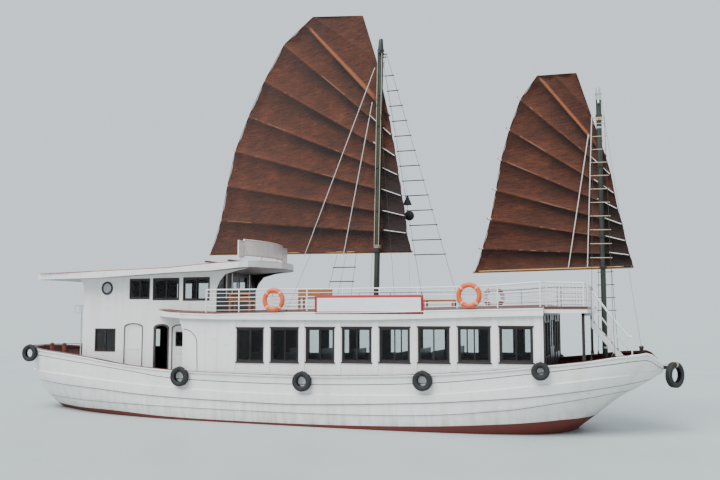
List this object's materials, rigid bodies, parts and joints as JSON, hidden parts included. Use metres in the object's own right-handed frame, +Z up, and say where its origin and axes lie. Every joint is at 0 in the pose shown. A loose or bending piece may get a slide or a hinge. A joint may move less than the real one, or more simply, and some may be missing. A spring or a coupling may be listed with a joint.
{
  "type": "chinese junk ship",
  "caption": "White wooden two-masted day-cruise boat with rust-brown battened junk sails, a long saloon, an upper deck with rails and a wheelhouse aft.",
  "frame": {"origin": "on the waterline amidships, on the centreline", "axes": "+X to the bow, +Y to port, +Z up"},
  "size_m": [22.7417, 6.8973, 15.5546],
  "materials": {
    "white_paint": "painted white, satin",
    "deck_red": "painted red-brown, matt",
    "brown_wood": "varnished dark brown",
    "roof_paint": "painted pinkish brown, worn",
    "mast_wood": "painted green-black, satin",
    "spar_wood": "bare brown poles",
    "sail_cloth": "rust-brown cotton canvas",
    "rope": "laid rope",
    "banner_cloth": "blank white cloth with a red border",
    "tyre_rubber": "worn black rubber",
    "bronze": "cast bronze",
    "engine_iron": "painted iron"
  },
  "bodies": {
    "boat": {"hull": "white_paint", "saloon_front": "white_paint", "saloon_bulkhead": "white_paint", "upper_deck": "white_paint", "house_back": "white_paint", "wheelhouse_front": "white_paint", "roof_sign": "white_paint", "stairs": "white_paint", "bulwark_starboard": "white_paint", "saloon_side_starboard": "white_paint", "house_side_starboard": "white_paint", "rail_starboard": "white_paint", "cap_rail_starboard": "brown_wood", "saloon_windows_starboard": "brown_wood", "tyres_starboard": "tyre_rubber", "fore_ladder_starboard": "rope", "bulwark_port": "white_paint", "saloon_side_port": "white_paint", "house_side_port": "white_paint", "rail_port": "white_paint", "cap_rail_port": "brown_wood", "saloon_windows_port": "brown_wood", "tyres_port": "tyre_rubber", "fore_ladder_port": "rope", "tyres_stern": "tyre_rubber", "tyre_bow": "tyre_rubber", "cap_rail_stern": "brown_wood", "cap_rail_bow": "brown_wood", "stern_bitts": "brown_wood", "windlass": "brown_wood", "foredeck_frame": "brown_wood", "bench_forward": "brown_wood", "bench_middle": "brown_wood", "bench_aft": "brown_wood", "deck_aft": "deck_red", "deck_saloon_aft": "deck_red", "deck_saloon_forward": "deck_red", "deck_forward": "deck_red", "wheelhouse_floor": "deck_red", "wheelhouse_roof": "roof_paint", "main_engine": "engine_iron", "banner": "banner_cloth", "main_mast": "mast_wood", "fore_mast": "mast_wood", "main_ladder_forward": "rope", "main_ladder_aft": "rope", "main_shrouds": "rope", "forestay": "rope"},
    "rudder": {"rudder": "deck_red"},
    "propeller": {"propeller": "bronze"},
    "main_sail": {"main_sail": "sail_cloth", "main_sail_spars": "spar_wood"},
    "fore_sail": {"fore_sail": "sail_cloth", "fore_sail_spars": "spar_wood"},
    "saloon_door_starboard": {"saloon_door_starboard": "brown_wood"},
    "side_door_aft_starboard": {"side_door_aft_starboard": "brown_wood"},
    "side_door_forward_starboard": {"side_door_forward_starboard": "brown_wood"},
    "saloon_door_port": {"saloon_door_port": "brown_wood"},
    "side_door_aft_port": {"side_door_aft_port": "brown_wood"},
    "side_door_forward_port": {"side_door_forward_port": "brown_wood"}
  },
  "joints": [
    {"name": "rudder_steer", "type": "hinge", "parent": "boat", "child": "rudder", "pos_m": [-9.75, 0, -0.5], "axis": [0, 0, 1], "range_deg": [-35, 35]},
    {"name": "propeller_spin", "type": "hinge", "parent": "boat", "child": "propeller", "pos_m": [-8.88, 0, -0.78], "axis": [1, 0, 0], "continuous": true},
    {"name": "main_sail_swing", "type": "hinge", "parent": "boat", "child": "main_sail", "pos_m": [1.8, 0, 5.3], "axis": [0.0205, 0, 0.9998], "range_deg": [-9, 1]},
    {"name": "fore_sail_swing", "type": "hinge", "parent": "boat", "child": "fore_sail", "pos_m": [8.93, 0, 4.8], "axis": [0, 0, 1], "range_deg": [-25, 20]},
    {"name": "saloon_door_starboard_hinge", "type": "hinge", "parent": "boat", "child": "saloon_door_starboard", "pos_m": [7.4, -0.695, 2.4], "axis": [0, 0, 1], "range_deg": [-90, 0]},
    {"name": "side_door_aft_starboard_hinge", "type": "hinge", "parent": "boat", "child": "side_door_aft_starboard", "pos_m": [-6.905, -1.4, 2.2], "axis": [0, 0, 1], "range_deg": [0, 95]},
    {"name": "side_door_forward_starboard_hinge", "type": "hinge", "parent": "boat", "child": "side_door_forward_starboard", "pos_m": [-4.415, -1.4, 2.2], "axis": [0, 0, 1], "range_deg": [-95, 0]},
    {"name": "saloon_door_port_hinge", "type": "hinge", "parent": "boat", "child": "saloon_door_port", "pos_m": [7.4, 0.695, 2.4], "axis": [0, 0, 1], "range_deg": [0, 90]},
    {"name": "side_door_aft_port_hinge", "type": "hinge", "parent": "boat", "child": "side_door_aft_port", "pos_m": [-6.905, 1.4, 2.2], "axis": [0, 0, 1], "range_deg": [-95, 0]},
    {"name": "side_door_forward_port_hinge", "type": "hinge", "parent": "boat", "child": "side_door_forward_port", "pos_m": [-4.415, 1.4, 2.2], "axis": [0, 0, 1], "range_deg": [0, 95]}
  ]
}
